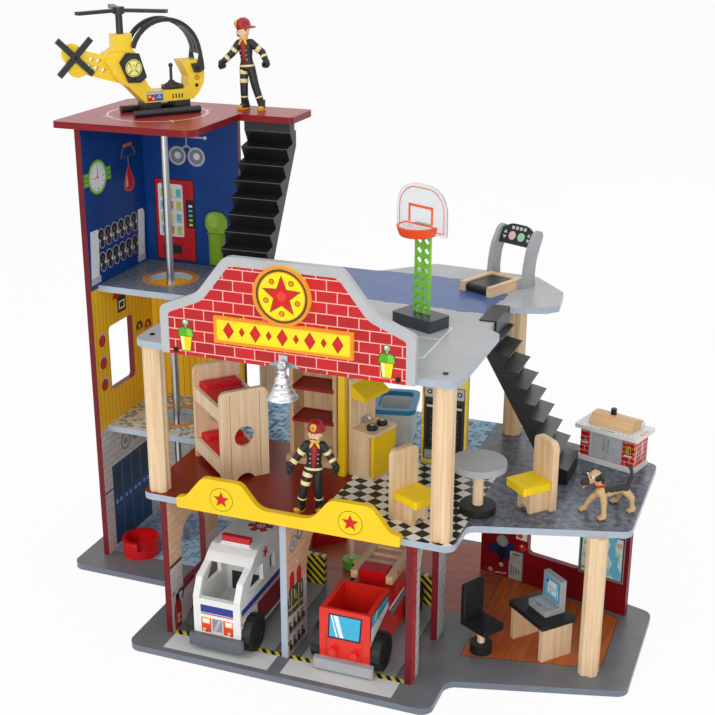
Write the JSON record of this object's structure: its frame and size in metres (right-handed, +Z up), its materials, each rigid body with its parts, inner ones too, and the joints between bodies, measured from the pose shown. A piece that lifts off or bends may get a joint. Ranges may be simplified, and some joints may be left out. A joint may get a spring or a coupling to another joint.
{
  "type": "toy fire station playset",
  "caption": "Wooden toy fire station with two vehicle bays, a tower with a pole, balconies, stairs, a helicopter on its roof, vehicles, furniture and figures.",
  "frame": {"origin": "middle of the outline on the underside of the base board", "axes": "+X to the right along the front, +Y to the back, +Z up"},
  "size_m": [0.734, 0.439, 0.716],
  "materials": {
    "base_grey": "satin paint",
    "deck_grey": "satin paint",
    "maroon_board": "satin paint",
    "yellow_board": "satin paint",
    "bare_wood": "clear lacquer",
    "brick_print": "printed",
    "pole_chrome": "polished",
    "black_plastic": "satin",
    "silver_plastic": "metallic",
    "screw_steel": "dark",
    "yellow_plastic": "satin",
    "dark_plastic": "satin",
    "green_plastic": "satin",
    "clear_plastic": "gloss",
    "white_plastic": "gloss",
    "grey_plastic": "satin",
    "wheel_rubber": "matte",
    "red_plastic": "gloss",
    "red_cloth": "woven",
    "silver_paint": "metallic paint",
    "black_paint": "satin paint",
    "red_board": "printed",
    "figure_rubber": "matte",
    "dog_rubber": "matte",
    "bed_cloth": "woven",
    "green_paint": "satin paint"
  },
  "bodies": {
    "station": {"base_plate": "base_grey", "main_floor": "deck_grey", "court_deck": "deck_grey", "rear_deck": "deck_grey", "tower_floors": "deck_grey", "tower_side_wall": "maroon_board", "tower_back_wall": "maroon_board", "tower_roof": "maroon_board", "bay_wall_left": "maroon_board", "bay_wall_right": "maroon_board", "office_wall": "maroon_board", "bay_wall_centre": "deck_grey", "hazard_stops": "yellow_board", "interior_walls": "yellow_board", "sign_plaque": "yellow_board", "balcony_rail": "yellow_board", "posts": "bare_wood", "bunk_frame": "bare_wood", "shelf_unit": "bare_wood", "kitchen_cabinet": "bare_wood", "treadmill_frame": "bare_wood", "dining_chairs": "bare_wood", "sign_board": "brick_print", "fire_pole": "pole_chrome", "upper_stairs": "black_plastic", "lower_stairs": "black_plastic", "bell_hanger": "silver_plastic", "screws": "screw_steel", "helicopter_body": "yellow_plastic", "helicopter_skids": "dark_plastic", "hoop_stand": "green_plastic", "hoop_backboard": "clear_plastic", "treadmill_belt": "black_plastic", "treadmill_console": "black_plastic", "bunk_mattresses": "red_cloth", "bathtub": "white_plastic", "dining_table": "silver_paint", "office_chair": "black_paint", "desk": "black_paint", "grill_cabinet": "red_board", "firefighters": "figure_rubber", "dog": "dog_rubber", "pet_bed": "bed_cloth", "sofa": "red_board", "signal_post": "green_paint"},
    "main_rotor": {"main_rotor": "dark_plastic"},
    "tail_rotor": {"tail_rotor": "dark_plastic"},
    "canopy": {"helicopter_canopy": "dark_plastic"},
    "bell": {"bell": "silver_plastic"},
    "ambulance": {"ambulance_body": "white_plastic", "ambulance_trim": "grey_plastic"},
    "ambulance_front_axle": {"ambulance_front_axle": "wheel_rubber"},
    "ambulance_rear_axle": {"ambulance_rear_axle": "wheel_rubber"},
    "truck": {"truck_body": "red_plastic"},
    "truck_front_axle": {"truck_front_axle": "wheel_rubber"},
    "truck_rear_axle": {"truck_rear_axle": "wheel_rubber"},
    "turntable": {"truck_turntable": "red_plastic"},
    "ladder": {"truck_ladder": "bare_wood"},
    "kitchen_door": {"kitchen_door": "yellow_board"},
    "grill_lid": {"grill_lid": "bare_wood"}
  },
  "joints": [
    {"name": "main_rotor_spin", "type": "hinge", "parent": "station", "child": "main_rotor", "pos_m": [-0.29878, 0.0086, 0.712], "axis": [0, 0, 1], "continuous": true},
    {"name": "tail_rotor_spin", "type": "hinge", "parent": "station", "child": "tail_rotor", "pos_m": [-0.33117, -0.04097, 0.6615], "axis": [-0.788, 0.6157, 0], "continuous": true},
    {"name": "canopy_tilt", "type": "hinge", "parent": "station", "child": "canopy", "pos_m": [-0.24214, 0.0811, 0.641], "axis": [-0.788, 0.6157, 0], "range_deg": [0, 75]},
    {"name": "bell_swing", "type": "hinge", "parent": "station", "child": "bell", "pos_m": [-0.003, -0.201, 0.379], "axis": [0, 1, 0], "range_deg": [-25, 25]},
    {"name": "ambulance_slide", "type": "slide", "parent": "station", "child": "ambulance", "axis": [0, 1, 0], "range_m": [-0.015, 0.015]},
    {"name": "ambulance_front_axle_spin", "type": "hinge", "parent": "ambulance", "child": "ambulance_front_axle", "pos_m": [-0.092, -0.176, 0.0305], "axis": [1, 0, 0], "continuous": true},
    {"name": "ambulance_rear_axle_spin", "type": "hinge", "parent": "ambulance", "child": "ambulance_rear_axle", "pos_m": [-0.092, -0.0525, 0.0305], "axis": [1, 0, 0], "continuous": true},
    {"name": "truck_slide", "type": "slide", "parent": "station", "child": "truck", "axis": [0, 1, 0], "range_m": [-0.025, 0.005]},
    {"name": "truck_front_axle_spin", "type": "hinge", "parent": "truck", "child": "truck_front_axle", "pos_m": [0.06, -0.1605, 0.0305], "axis": [1, 0, 0], "continuous": true},
    {"name": "truck_rear_axle_spin", "type": "hinge", "parent": "truck", "child": "truck_rear_axle", "pos_m": [0.06, -0.0425, 0.0305], "axis": [1, 0, 0], "continuous": true},
    {"name": "turntable_swivel", "type": "hinge", "parent": "truck", "child": "turntable", "pos_m": [0.06, -0.0745, 0.062], "axis": [0, 0, 1], "range_deg": [-20, 20]},
    {"name": "ladder_lift", "type": "hinge", "parent": "turntable", "child": "ladder", "pos_m": [0.06, -0.0725, 0.083], "axis": [1, 0, 0], "range_deg": [0, 45]},
    {"name": "kitchen_door_swing", "type": "hinge", "parent": "station", "child": "kitchen_door", "pos_m": [0.04693, -0.05706, 0.22], "axis": [0, 0, -1], "range_deg": [0, 100]},
    {"name": "grill_lid_lift", "type": "hinge", "parent": "station", "child": "grill_lid", "pos_m": [0.30499, 0.11221, 0.2423], "axis": [-0.9532, 0.3024, 0], "range_deg": [0, 80]}
  ],
  "couplings": [
    {"joint": "ambulance_front_axle_spin", "follows": "ambulance_slide", "rad_per_m": -44.444},
    {"joint": "ambulance_rear_axle_spin", "follows": "ambulance_slide", "rad_per_m": -44.444},
    {"joint": "truck_front_axle_spin", "follows": "truck_slide", "rad_per_m": -44.444},
    {"joint": "truck_rear_axle_spin", "follows": "truck_slide", "rad_per_m": -44.444}
  ]
}
